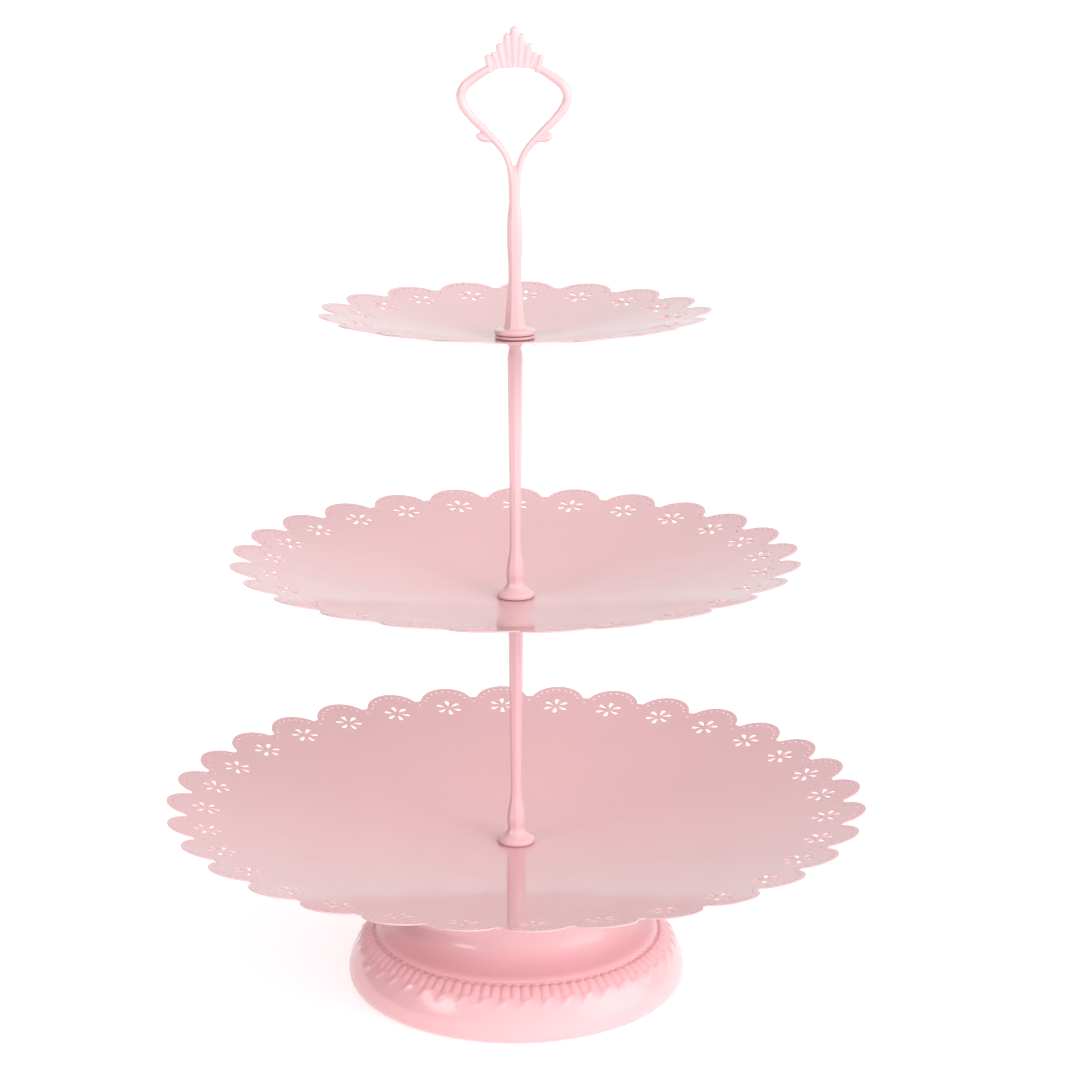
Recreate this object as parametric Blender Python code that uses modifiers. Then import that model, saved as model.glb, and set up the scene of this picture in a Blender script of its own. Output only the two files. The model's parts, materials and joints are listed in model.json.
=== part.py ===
"""Three-tier cake stand of painted metal: a hollow pedestal, three scalloped dishes, two screwed rods
and a crown handle, built as separate pieces.

Origin on the floor under the middle of the pedestal, +Z up. Lengths are in metres. The stack is
screwed together with right-hand M4 threads, modelled as plain cylinders with running clearance.
"""

import math

import bmesh
import bpy

MM = 0.001
GAP = 0.3 * MM  # left between two pieces that touch

# Sheet metal and turned parts
SHEET = 0.6 * MM
PEDESTAL_SHEET = 0.9 * MM
TURN_STEPS = 48
ROD_STEPS = 20
SMALL_STEPS = 24

# M4 screwed joints
THREAD_R = 1.95 * MM
BORE_R = 2.25 * MM
HOLE_R = 2.6 * MM
THREAD_LENGTH = 10.5 * MM
THREAD_CHAMFER = 0.5 * MM
BORE_DEPTH = 12.0 * MM
BORE_TIP = 1.2 * MM  # the drill's cone at the blind end

# Pedestal
PEDESTAL_TOP = 59.4 * MM
PEDESTAL_TOP_R = 50.0 * MM
PEDESTAL_HUB_R = 20.0 * MM
NECK_R = 47.0 * MM
GROOVE_R = 62.0 * MM
GROOVE_Z = 22.2 * MM
BULGE_R = 73.3 * MM
LIP_R = 70.4 * MM
LIP_Z = 0.4 * MM
HEM_Z = 1.2 * MM
HEM_INNER_R = 60.5 * MM

# Foot pads and the hardware under the pedestal's top
PAD_R = 3.2 * MM
PAD_HEIGHT = HEM_Z - GAP
PAD_CHAMFER = 0.25 * MM
PAD_STEPS = 16
PAD_RING_R = 64.0 * MM
PAD_COUNT = 4
SEAT_GASKET_R = 24.0 * MM
SEAT_GASKET_HEIGHT = 1.0 * MM
SEAT_GASKET_STEPS = 32
BASE_WASHER_R = 10.0 * MM
BASE_WASHER_HEIGHT = 1.2 * MM
LOCK_WASHER_R = 3.9 * MM
LOCK_WASHER_HEIGHT = 1.1 * MM
LOCK_WASHER_SLIT = 0.8 * MM
BOLT_HEAD_R = 4.1 * MM
BOLT_HEAD_HEIGHT = 2.7 * MM
BOLT_SHANK_IN_ROD = 10.0 * MM
BOLT_SLOT_WIDTH = 1.0 * MM
BOLT_SLOT_LENGTH = 4.6 * MM
BOLT_SLOT_DEPTH = 1.5 * MM

# Rods: both are the same casting
ROD_LENGTH = 108.3 * MM
ROD_FLANGE_R = 8.0 * MM
ROD_BULGE_R = 3.9 * MM
ROD_WAIST_R = 2.6 * MM
ROD_SHOULDER_R = 3.15 * MM
ROD_COVE_R = 2.15 * MM
ROD_SEAT_R = 4.4 * MM
FLANGE_WASHER_R = 6.8 * MM
FLANGE_WASHER_HEIGHT = 0.5 * MM

# Dishes: scallop count, radius at the notches and at the tips, depth at the notches, turn of the first
# notch, and how the height grows with the reach: 1 is a straight cone, 2 a parabola
HUB_FLAT_R = 12.0 * MM
NOTCH_FLOOR = 3.0 * MM
POINTS_PER_LOBE = 8
BLANK_MARGIN = 3.0 * MM  # of the round blank outside the tips, cut away with the scallops
BLANK_STOPS = (0.3, 0.55, 0.78, 1.0)  # rings of the dish between its flat middle and the blank's edge
RIM_CUTTER_BELOW = 10.0 * MM
RIM_CUTTER_ABOVE = 60.0 * MM
DISHES = {
    "bottom_plate": dict(lobes=32, notch_r=141.1 * MM, tip_r=150.0 * MM, depth=20.6 * MM, turn=9.1,
                         curve=1.6),
    "middle_plate": dict(lobes=25, notch_r=111.0 * MM, tip_r=120.0 * MM, depth=17.5 * MM, turn=11.5,
                         curve=1.35),
    "top_plate": dict(lobes=17, notch_r=73.5 * MM, tip_r=81.2 * MM, depth=10.5 * MM, turn=12.3,
                      curve=1.25),
}

# Handle, from the underside of its flange up
HANDLE_HEIGHT = 124.4 * MM
HANDLE_FLANGE_R = 8.6 * MM
HANDLE_WASHER_R = 8.3 * MM
HANDLE_WASHER_HEIGHT = 1.2 * MM
HANDLE_SHAFT_TOP = 69.0 * MM
CREST_THICKNESS = 3.4 * MM
NUB_R = 2.3 * MM
NUB_STRETCH = (1.35, 1.0, 0.85)
NUB_X = 13.4 * MM
NUB_Z = 80.4 * MM
HANDLE_STEPS = 16
LOOP_STEPS = 2  # of each bar between two of the points it passes
LOOP_BEVEL = 1.0 * MM  # a bar's radius is this times its point radius

# Heights of the stack, from the floor up
SEAT_GASKET_Z = PEDESTAL_TOP + GAP
BOTTOM_PLATE_Z = SEAT_GASKET_Z + SEAT_GASKET_HEIGHT + GAP
TIER_STACK = SHEET + GAP + FLANGE_WASHER_HEIGHT + GAP
LOWER_ROD_Z = BOTTOM_PLATE_Z + TIER_STACK
MIDDLE_PLATE_Z = LOWER_ROD_Z + ROD_LENGTH + GAP
UPPER_ROD_Z = MIDDLE_PLATE_Z + TIER_STACK
TOP_PLATE_Z = UPPER_ROD_Z + ROD_LENGTH + GAP
HANDLE_WASHER_Z = TOP_PLATE_Z + SHEET + GAP
HANDLE_Z = HANDLE_WASHER_Z + HANDLE_WASHER_HEIGHT + GAP

PINK = (0.86, 0.50, 0.53, 1.0)
CLEAR_RUBBER = (0.80, 0.76, 0.75, 1.0)
STEEL = (0.62, 0.61, 0.60, 1.0)


def clear_scene():
    for item in list(bpy.data.objects):
        bpy.data.objects.remove(item)


def make_collection(name):
    found = bpy.data.collections.new(name)
    bpy.context.scene.collection.children.link(found)
    return found


def make_material(name, colour, roughness, metallic):
    material = bpy.data.materials.new(name)
    material.use_nodes = True
    shader = material.node_tree.nodes["Principled BSDF"]
    shader.inputs["Base Color"].default_value = colour
    shader.inputs["Roughness"].default_value = roughness
    shader.inputs["Metallic"].default_value = metallic
    material.diffuse_color = colour
    return material


def add_object(name, mesh, material, collection):
    found = bpy.data.objects.new(name, mesh)
    found.data.materials.append(material)
    collection.objects.link(found)
    return found


def add_cutter(name, mesh):
    found = bpy.data.objects.new(name, mesh)
    CUTTERS.objects.link(found)
    found.hide_render = True
    found.display_type = "WIRE"
    return found


def profile_mesh(name, points, closed=False):
    """A chain of edges in the XZ plane through (radius, height) points."""
    count = len(points)
    edges = [(i, i + 1) for i in range(count - 1)]
    if closed:
        edges.append((count - 1, 0))
    mesh = bpy.data.meshes.new(name)
    mesh.from_pydata([(r, 0.0, z) for r, z in points], edges, [])
    return mesh


def turn(item, steps):
    """Turns a profile about Z into a surface."""
    screw = item.modifiers.new("turn", "SCREW")
    screw.axis = "Z"
    screw.angle = 2 * math.pi
    screw.steps = steps
    screw.render_steps = steps
    screw.use_merge_vertices = True
    screw.merge_threshold = 0.00001
    screw.use_smooth_shade = True


def turned(name, points, material, steps=SMALL_STEPS, closed=False):
    item = add_object(name, profile_mesh(name, points, closed), material, PARTS)
    turn(item, steps)
    return item


def ring(name, inner_r, outer_r, low, height, material, steps=SMALL_STEPS):
    """A flat washer."""
    high = low + height
    points = [(outer_r, high), (outer_r, low), (inner_r, low), (inner_r, high)]
    return turned(name, points, material, steps, closed=True)


def solidify(item, thickness):
    """Gives an open surface a thickness on its inner side."""
    shell = item.modifiers.new("thickness", "SOLIDIFY")
    shell.thickness = thickness
    shell.offset = -1
    shell.use_even_offset = True
    shell.use_rim = True


def boolean(item, other, operation):
    cut = item.modifiers.new(other.name, "BOOLEAN")
    cut.operation = operation
    cut.solver = "EXACT"
    cut.object = other


def smooth_path(points, between):
    """A Catmull-Rom curve through the points, with `between` steps from each to the next."""
    padded = [points[0]] + list(points) + [points[-1]]
    path = []
    for a, b, c, d in zip(padded, padded[1:], padded[2:], padded[3:]):
        for i in range(between):
            t = i / between
            path.append(
                tuple(
                    0.5 * (2 * q + (r - p) * t + (2 * p - 5 * q + 4 * r - s) * t**2
                           + (3 * q - p - 3 * r + s) * t**3)
                    for p, q, r, s in zip(a, b, c, d)
                )
            )
    path.append(tuple(points[-1]))
    return path


# Dishes


def dish_height(radius, dish):
    """Height of a dish's upper face over its flat middle."""
    reach = max(0.0, radius - HUB_FLAT_R) / (dish["notch_r"] - HUB_FLAT_R)
    return dish["depth"] * reach ** dish["curve"]


def scallop_outline(dish):
    """The rim seen from above: lobes that are arcs of a circle, between short straight notches."""
    pitch = 2 * math.pi / dish["lobes"]
    half = pitch / 2 - NOTCH_FLOOR / 2 / dish["notch_r"]
    half_chord = dish["notch_r"] * math.sin(half)
    rise = dish["tip_r"] - dish["notch_r"] * math.cos(half)
    lobe_r = (half_chord**2 + rise**2) / (2 * rise)
    sweep = math.asin(half_chord / lobe_r)
    points = []
    for k in range(dish["lobes"]):
        middle = math.radians(dish["turn"]) + pitch * (k + 0.5)
        for i in range(POINTS_PER_LOBE + 1):
            angle = sweep * (2 * i / POINTS_PER_LOBE - 1)
            out = dish["tip_r"] - lobe_r + lobe_r * math.cos(angle)
            aside = lobe_r * math.sin(angle)
            x = out * math.cos(middle) - aside * math.sin(middle)
            y = out * math.sin(middle) + aside * math.cos(middle)
            points.append((x, y))
    return points


def scallop_cutter(name, dish, low, high):
    """An upright prism with the rim's outline."""
    form = bmesh.new()
    corners = [form.verts.new((x, y, low)) for x, y in scallop_outline(dish)]
    face = form.faces.new(corners)
    grown = bmesh.ops.extrude_face_region(form, geom=[face])["geom"]
    tops = [v for v in grown if isinstance(v, bmesh.types.BMVert)]
    bmesh.ops.translate(form, verts=tops, vec=(0, 0, high - low))
    bmesh.ops.recalc_face_normals(form, faces=form.faces)
    mesh = bpy.data.meshes.new(name)
    form.to_mesh(mesh)
    form.free()
    return add_cutter(name, mesh)


def make_dish(name, low):
    """A pressed dish with a scalloped rim and a hole in its middle; low is its underside at the hub."""
    dish = DISHES[name]
    blank_r = dish["tip_r"] + BLANK_MARGIN
    stops = [HOLE_R, HUB_FLAT_R]
    stops += [HUB_FLAT_R + (blank_r - HUB_FLAT_R) * t for t in BLANK_STOPS]
    top = low + SHEET
    points = [(r, top + dish_height(r, dish)) for r in stops]
    item = turned(name, points, MATERIALS["pink"], TURN_STEPS)
    solidify(item, SHEET)
    cutter = scallop_cutter(name + "_rim", dish, low - RIM_CUTTER_BELOW, low + RIM_CUTTER_ABOVE)
    boolean(item, cutter, "INTERSECT")
    return item


# Pedestal


def pedestal_profile():
    """The outer face, from the hole in the top down the neck, over the rib band and round the foot."""
    points = [(HOLE_R, PEDESTAL_TOP), (PEDESTAL_HUB_R, PEDESTAL_TOP)]
    points += [(PEDESTAL_TOP_R - 1 * MM, PEDESTAL_TOP), (PEDESTAL_TOP_R, PEDESTAL_TOP - 1.2 * MM)]
    points += [(NECK_R + 0.9 * MM, 52 * MM), (NECK_R, 44 * MM), (NECK_R + 0.4 * MM, 36 * MM)]
    points += [(NECK_R + 2.9 * MM, 29.5 * MM), (NECK_R + 9.2 * MM, 25.1 * MM)]
    points += [(GROOVE_R - 1.2 * MM, GROOVE_Z + 1.6 * MM), (GROOVE_R, GROOVE_Z)]
    points += [(GROOVE_R + 1.3 * MM, GROOVE_Z - 0.5 * MM), (67.5 * MM, 18.2 * MM)]
    points += [(70.6 * MM, 14.2 * MM), (72.6 * MM, 9.6 * MM), (BULGE_R, 5.2 * MM)]
    points += [(72.6 * MM, 2.0 * MM), (LIP_R, LIP_Z), (67.8 * MM, LIP_Z)]
    points += [(66.8 * MM + GAP, HEM_Z), (HEM_INNER_R, HEM_Z)]
    return points


def make_pedestal():
    item = turned("pedestal_base", pedestal_profile(), MATERIALS["pink"], TURN_STEPS)
    solidify(item, PEDESTAL_SHEET)
    return item


def make_foot_pads():
    for k in range(PAD_COUNT):
        angle = 2 * math.pi * (k + 0.5) / PAD_COUNT
        points = [(0, PAD_HEIGHT), (PAD_R, PAD_HEIGHT), (PAD_R, PAD_CHAMFER)]
        points += [(PAD_R - PAD_CHAMFER, 0), (0, 0)]
        pad = turned(f"foot_pad_{k + 1}", points, MATERIALS["clear_rubber"], PAD_STEPS)
        pad.location = (PAD_RING_R * math.cos(angle), PAD_RING_R * math.sin(angle), 0)


# Fasteners


def box_cutter(name, size, centre):
    form = bmesh.new()
    bmesh.ops.create_cube(form, size=1)
    bmesh.ops.scale(form, vec=size, verts=form.verts)
    bmesh.ops.translate(form, vec=centre, verts=form.verts)
    mesh = bpy.data.meshes.new(name)
    form.to_mesh(mesh)
    form.free()
    return add_cutter(name, mesh)


def make_lock_washer(low):
    item = ring("base_lock_washer", BORE_R, LOCK_WASHER_R, low, LOCK_WASHER_HEIGHT, MATERIALS["steel"])
    size = (2 * LOCK_WASHER_R, LOCK_WASHER_SLIT, 3 * LOCK_WASHER_HEIGHT)
    centre = (LOCK_WASHER_R + BORE_R / 2, 0, low)
    boolean(item, box_cutter("lock_washer_slit", size, centre), "DIFFERENCE")


def thread_tip(tip):
    """A threaded end's profile, from its axis to the full thread below the chamfer."""
    return [(0, tip), (THREAD_R - THREAD_CHAMFER, tip), (THREAD_R, tip - THREAD_CHAMFER)]


def make_bolt(head_top):
    """Pan-head bolt driven up through the pedestal's top into the lower rod."""
    low = head_top - BOLT_HEAD_HEIGHT
    points = thread_tip(LOWER_ROD_Z + BOLT_SHANK_IN_ROD) + [(THREAD_R, head_top)]
    points += [(BOLT_HEAD_R, head_top), (BOLT_HEAD_R, low + 1.2 * MM)]
    points += [(BOLT_HEAD_R * 0.8, low + 0.3 * MM), (BOLT_HEAD_R * 0.5, low), (0, low)]
    bolt = turned("base_bolt", points, MATERIALS["steel"])
    for name, size in (("bolt_slot_x", (BOLT_SLOT_LENGTH, BOLT_SLOT_WIDTH)),
                       ("bolt_slot_y", (BOLT_SLOT_WIDTH, BOLT_SLOT_LENGTH))):
        boolean(bolt, box_cutter(name, (*size, 2 * BOLT_SLOT_DEPTH), (0, 0, low)), "DIFFERENCE")


def make_hardware():
    under_top = PEDESTAL_TOP - PEDESTAL_SHEET
    washer_low = under_top - GAP - BASE_WASHER_HEIGHT
    lock_low = washer_low - GAP - LOCK_WASHER_HEIGHT
    ring("base_washer", HOLE_R, BASE_WASHER_R, washer_low, BASE_WASHER_HEIGHT, MATERIALS["steel"])
    make_lock_washer(lock_low)
    make_bolt(lock_low - GAP)
    ring("seat_gasket", HOLE_R, SEAT_GASKET_R, SEAT_GASKET_Z, SEAT_GASKET_HEIGHT,
         MATERIALS["clear_rubber"], SEAT_GASKET_STEPS)


# Rods and handle


def rod_profile():
    """From the threaded tip down: seat for the dish above, cove, shoulder, taper, bulge, flange, bore."""
    top = ROD_LENGTH
    points = thread_tip(top + THREAD_LENGTH) + [(THREAD_R, top)]
    points += [(ROD_SEAT_R, top), (ROD_SEAT_R, top - 0.7 * MM), (ROD_COVE_R, top - 2.2 * MM)]
    points += [(ROD_COVE_R + 0.2 * MM, top - 3.2 * MM), (ROD_SHOULDER_R, top - 5.4 * MM)]
    points += [(ROD_SHOULDER_R, top - 16 * MM), (ROD_WAIST_R, 34 * MM), (ROD_WAIST_R - 0.3 * MM, 22 * MM)]
    points += [(3.0 * MM, 15 * MM), (ROD_BULGE_R, 10.5 * MM), (ROD_BULGE_R, 7.5 * MM), (3.5 * MM, 4.6 * MM)]
    points += [(4.2 * MM, 3.4 * MM), (ROD_FLANGE_R - 1.2 * MM, 1.6 * MM), (ROD_FLANGE_R, 0.9 * MM)]
    points += [(ROD_FLANGE_R, 0.3 * MM), (ROD_FLANGE_R - 0.3 * MM, 0)]
    points += [(BORE_R, 0), (BORE_R, BORE_DEPTH), (0, BORE_DEPTH + BORE_TIP)]
    return points


def make_rod(name, low):
    points = [(r, low + z) for r, z in rod_profile()]
    return turned(name, points, MATERIALS["pink"], ROD_STEPS)


def handle_profile():
    """The baluster shaft, its round flange and the threaded bore."""
    points = [(0, HANDLE_SHAFT_TOP), (2.0 * MM, HANDLE_SHAFT_TOP - 1 * MM), (2.6 * MM, 62 * MM)]
    points += [(2.7 * MM, 58.5 * MM), (2.4 * MM, 54 * MM), (3.4 * MM, 46 * MM), (3.45 * MM, 38 * MM)]
    points += [(2.85 * MM, 28 * MM), (2.85 * MM, 22 * MM), (3.7 * MM, 11 * MM), (4.7 * MM, 3.2 * MM)]
    points += [(5.0 * MM, 2.5 * MM), (HANDLE_FLANGE_R - 0.6 * MM, 2.3 * MM), (HANDLE_FLANGE_R, 1.6 * MM)]
    points += [(HANDLE_FLANGE_R, 0.5 * MM), (HANDLE_FLANGE_R - 0.5 * MM, 0)]
    points += [(BORE_R, 0), (BORE_R, BORE_DEPTH), (0, BORE_DEPTH + BORE_TIP)]
    return points


def loop_route():
    """Half of the handle's loop: (distance from the axis, height, bar radius), from the shaft up."""
    return [
        (0.4 * MM, 61.5 * MM, 1.2 * MM),
        (1.7 * MM, 67.2 * MM, 1.35 * MM),
        (3.4 * MM, 72.7 * MM, 1.4 * MM),
        (6.5 * MM, 77.1 * MM, 1.5 * MM),
        (12.4 * MM, 83.3 * MM, 1.7 * MM),
        (17.0 * MM, 87.9 * MM, 1.85 * MM),
        (20.4 * MM, 92.5 * MM, 2.0 * MM),
        (21.4 * MM, 96.6 * MM, 2.05 * MM),
        (19.6 * MM, 100.8 * MM, 2.0 * MM),
        (15.0 * MM, 104.4 * MM, 1.9 * MM),
        (10.4 * MM, 107.0 * MM, 1.8 * MM),
        (5.0 * MM, 108.9 * MM, 1.5 * MM),
        (-1.3 * MM, 109.4 * MM, 1.35 * MM),
    ]


def mesh_from_curve(curve_item, name):
    """A closed mesh from a bevelled or filled curve, whose own object is then removed."""
    bpy.context.view_layer.update()
    graph = bpy.context.evaluated_depsgraph_get()
    mesh = bpy.data.meshes.new_from_object(curve_item.evaluated_get(graph))
    form = bmesh.new()
    form.from_mesh(mesh)
    bmesh.ops.remove_doubles(form, verts=form.verts, dist=0.000001)
    bmesh.ops.recalc_face_normals(form, faces=form.faces)
    form.to_mesh(mesh)
    form.free()
    item = add_cutter(name, mesh)
    item.matrix_world = curve_item.matrix_world
    bpy.data.objects.remove(curve_item)
    return item


def loop_half(side):
    """A tapering round bar along one side of the loop; side is -1 or 1."""
    path = smooth_path(loop_route(), LOOP_STEPS)
    curve = bpy.data.curves.new("loop", "CURVE")
    curve.dimensions = "3D"
    curve.bevel_depth = LOOP_BEVEL
    curve.bevel_resolution = 2
    curve.use_fill_caps = True
    spline = curve.splines.new("POLY")
    spline.points.add(len(path) - 1)
    for point, (x, z, radius) in zip(spline.points, path):
        point.co = (side * x, 0, z, 1)
        point.radius = radius / LOOP_BEVEL
    item = bpy.data.objects.new("loop", curve)
    item.location = (0, 0, HANDLE_Z)
    CUTTERS.objects.link(item)
    return mesh_from_curve(item, "loop_left" if side < 0 else "loop_right")


def crest_outline():
    """The fluted crest seen from the front: an upright scroll at each end and five stepped fingers."""
    half = [(10.0, 106.4), (12.2, 107.2), (12.3, 111.2), (11.4, 112.8), (9.6, 112.2)]
    half += [(8.4, 113.8), (7.7, 116.2), (6.6, 117.1), (5.0, 116.6)]
    half += [(4.5, 119.6), (3.6, 121.0), (2.4, 120.8), (1.3, 123.7)]
    top = [(0.0, HANDLE_HEIGHT / MM)]
    bottom = [(0.0, 108.0)]
    other_half = [(-x, z) for x, z in reversed(half)]
    return [(x * MM, z * MM) for x, z in bottom + half + top + other_half]


def make_crest():
    curve = bpy.data.curves.new("crest", "CURVE")
    curve.dimensions = "2D"
    curve.fill_mode = "BOTH"
    curve.extrude = CREST_THICKNESS / 2
    spline = curve.splines.new("POLY")
    outline = crest_outline()
    spline.points.add(len(outline) - 1)
    for point, (x, z) in zip(spline.points, outline):
        point.co = (x, z, 0, 1)
    spline.use_cyclic_u = True
    item = bpy.data.objects.new("crest", curve)
    item.rotation_euler = (math.pi / 2, 0, 0)
    item.location = (0, 0, HANDLE_Z)
    CUTTERS.objects.link(item)
    return mesh_from_curve(item, "crest_solid")


def make_nub(side):
    """The small leaf on the outside of the loop's lower bend."""
    form = bmesh.new()
    bmesh.ops.create_uvsphere(form, u_segments=10, v_segments=6, radius=NUB_R)
    bmesh.ops.scale(form, vec=NUB_STRETCH, verts=form.verts)
    bmesh.ops.translate(form, vec=(side * NUB_X, 0, HANDLE_Z + NUB_Z), verts=form.verts)
    mesh = bpy.data.meshes.new("nub")
    form.to_mesh(mesh)
    form.free()
    return add_cutter("nub_left" if side < 0 else "nub_right", mesh)


def make_handle():
    points = [(r, HANDLE_Z + z) for r, z in handle_profile()]
    handle = turned("crown_handle", points, MATERIALS["pink"], HANDLE_STEPS)
    for side in (-1, 1):
        boolean(handle, loop_half(side), "UNION")
        boolean(handle, make_nub(side), "UNION")
    boolean(handle, make_crest(), "UNION")


def make_stack():
    make_dish("bottom_plate", BOTTOM_PLATE_Z)
    make_dish("middle_plate", MIDDLE_PLATE_Z)
    make_dish("top_plate", TOP_PLATE_Z)
    make_rod("lower_rod", LOWER_ROD_Z)
    make_rod("upper_rod", UPPER_ROD_Z)
    for name, low in (("lower_washer", BOTTOM_PLATE_Z), ("middle_washer", MIDDLE_PLATE_Z)):
        ring(name, HOLE_R, FLANGE_WASHER_R, low + SHEET + GAP, FLANGE_WASHER_HEIGHT,
             MATERIALS["clear_rubber"])
    ring("handle_washer", HOLE_R, HANDLE_WASHER_R, HANDLE_WASHER_Z, HANDLE_WASHER_HEIGHT,
         MATERIALS["pink"])


clear_scene()
PARTS = make_collection("cake_stand")
CUTTERS = make_collection("cutters")
MATERIALS = {
    "pink": make_material("pink_enamel", PINK, 0.18, 0.0),
    "clear_rubber": make_material("clear_rubber", CLEAR_RUBBER, 0.5, 0.0),
    "steel": make_material("zinc_steel", STEEL, 0.35, 1.0),
}
make_pedestal()
make_foot_pads()
make_hardware()
make_stack()
make_handle()
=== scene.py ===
"""The looks of a three-tier cake stand in pink enamel: pierced scalloped dishes, eight-sided rods,
a cast crown handle and a ribbed pedestal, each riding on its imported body.

Metres, +Z up, the pole on the Z axis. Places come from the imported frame's boxes.
"""

import json
import math

import bmesh
import bpy
import numpy as np
from mathutils import Matrix, Vector
from mathutils.geometry import delaunay_2d_cdt


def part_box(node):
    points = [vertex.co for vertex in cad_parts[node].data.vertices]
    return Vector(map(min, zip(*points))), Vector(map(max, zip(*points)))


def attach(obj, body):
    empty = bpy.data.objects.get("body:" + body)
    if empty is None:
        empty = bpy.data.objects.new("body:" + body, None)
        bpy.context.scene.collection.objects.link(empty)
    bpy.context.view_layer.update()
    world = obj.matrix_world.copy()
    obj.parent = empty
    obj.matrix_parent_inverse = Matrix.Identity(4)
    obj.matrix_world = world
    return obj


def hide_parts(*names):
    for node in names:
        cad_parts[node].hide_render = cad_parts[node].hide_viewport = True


MM = 0.001
SHEET = 0.6  # mm, thickness of the dishes
INSET = 0.14 * MM  # the fine outlines stay this far inside the frame's coarser ones

# Dishes, in mm and degrees: scallops, radius at the notches and at the tips, depth at the notches, how
# the height grows with the reach (1 is a cone, 2 a parabola), turn of notch 0, and the radius that the
# pierced flowers stand on
DISHES = {
    "bottom_plate": dict(body="bottom_tier", lobes=32, notch=141.1, tip=150.0, depth=20.6, curve=1.6,
                         turn=9.1, flower=133.1),
    "middle_plate": dict(body="middle_tier", lobes=25, notch=111.0, tip=120.0, depth=17.5, curve=1.35,
                         turn=11.5, flower=102.9),
    "top_plate": dict(body="top_tier", lobes=17, notch=73.5, tip=81.2, depth=10.5, curve=1.25,
                      turn=12.3, flower=64.6),
}
HUB_FLAT = 12.0
HOLE = 2.6
NOTCH_FLOOR = 3.0
SECTOR_DEPTH = 19.0  # of the pierced band, from the notches inwards
SECTOR_SPLIT = 6  # columns of the plain middle to each scallop
LOBE_STEPS = 26
SEED_STEP = 2.3
SEED_CLEAR = 0.75
WELD = 0.000002  # metres, points closer than this become one

# Piercings
PETALS = 6
PETAL_IN = 1.9
PETAL_OUT = 5.1
PETAL_SMALL_R = 0.32
PETAL_BIG_R = 1.05
DOT_R = 0.64
DOT_SIDES = 10
DOT_INSET = 2.5
DOTS = 9
DOT_SWEEP = 0.93
NOTCH_DOT_INSET = 3.4

# Threads
THREAD_PITCH = 0.7
THREAD_R = 1.95
THREAD_DEPTH = 0.32
BORE_R = 2.25
BORE_DEPTH = 12.0
STUD_LENGTH = 10.5


# Meshes


def link(name, mesh):
    item = bpy.data.objects.new(name, mesh)
    bpy.context.scene.collection.objects.link(item)
    return item


def mesh_item(name, points, faces):
    mesh = bpy.data.meshes.new(name)
    mesh.from_pydata([tuple(p) for p in points], [], [tuple(f) for f in faces])
    mesh.update()
    return link(name, mesh)


def weld(item):
    form = bmesh.new()
    form.from_mesh(item.data)
    bmesh.ops.remove_doubles(form, verts=form.verts, dist=WELD)
    bmesh.ops.dissolve_degenerate(form, edges=form.edges, dist=WELD / 4)
    form.to_mesh(item.data)
    form.free()
    return item


def bake(item):
    """Applies an item's modifiers."""
    graph = bpy.context.evaluated_depsgraph_get()
    mesh = bpy.data.meshes.new_from_object(item.evaluated_get(graph))
    item.modifiers.clear()
    item.data = mesh
    return item


def smooth(item, angle=35):
    item.data.shade_smooth()
    item.data.set_sharp_from_angle(angle=math.radians(angle))
    return item


def full_turn(count):
    """`count` even angles round a full turn, from 0."""
    return np.arange(count) * 2 * math.pi / count


def rotate(points, angle):
    """Plan points turned about the origin."""
    x, y = points[:, 0], points[:, 1]
    c, s = math.cos(angle), math.sin(angle)
    return np.stack([x * c - y * s, x * s + y * c], -1)


def ring_faces(rows, count):
    """Quads that join each ring of `count` points to the next."""
    faces = []
    for i in range(rows - 1):
        for j in range(count):
            k = (j + 1) % count
            faces.append((i * count + j, i * count + k, (i + 1) * count + k, (i + 1) * count + j))
    return faces


def through(points, step):
    """A smooth line through points of any width, about `step` long between samples."""
    p = np.array(points, float)
    padded = np.vstack([2 * p[0] - p[1], p, 2 * p[-1] - p[-2]])
    out = []
    for a, b, c, d in zip(padded, padded[1:], padded[2:], padded[3:]):
        count = max(1, int(np.hypot(*(c - b)[:2]) / step))
        t = (np.arange(count) / count)[:, None]
        out.append(0.5 * (2 * b + (c - a) * t + (2 * a - 5 * b + 4 * c - d) * t**2
                          + (3 * b - a - 3 * c + d) * t**3))
    out.append(p[-1:])
    return np.vstack(out)


def revolve(name, radius, height, loop=False):
    """Rings about Z, from arrays of rings by points round. Runs down the outer side."""
    rows, count = radius.shape
    angle = full_turn(count)
    points = np.stack([radius * np.cos(angle), radius * np.sin(angle), height], -1).reshape(-1, 3)
    i = np.arange(rows if loop else rows - 1)[:, None] * count
    j = np.arange(count)[None, :]
    below = (i + count) % (rows * count)
    beside = (j + 1) % count
    faces = np.stack([i + j, below + j, below + beside, i + beside], -1).reshape(-1, 4)
    return weld(mesh_item(name, points * MM, faces))


def turned(name, profile, low, count=96, loop=False):
    """A plain turned piece from (radius, height) points in mm above `low`, given in metres."""
    p = np.array(profile, float)
    one = np.ones(count)
    item = revolve(name, p[:, :1] * one, p[:, 1:2] * one + low / MM, loop)
    return smooth(item)


def rounded_ring(name, inner, outer, thick, low, edge):
    """A washer with rounded edges."""
    corners = ((outer - edge, thick - edge, 90, 0), (outer - edge, edge, 0, -90),
               (inner + edge, edge, -90, -180), (inner + edge, thick - edge, -180, -270))
    profile = []
    for x, z, start, end in corners:
        for a in np.radians(np.linspace(start, end, 5)):
            profile.append((x + edge * math.cos(a), z + edge * math.sin(a)))
    return turned(name, profile, low, loop=True)


# Dishes


def dish_height(radius, dish):
    reach = np.maximum(0.0, radius - HUB_FLAT) / (dish["notch"] - HUB_FLAT)
    return dish["depth"] * reach ** dish["curve"]


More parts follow.
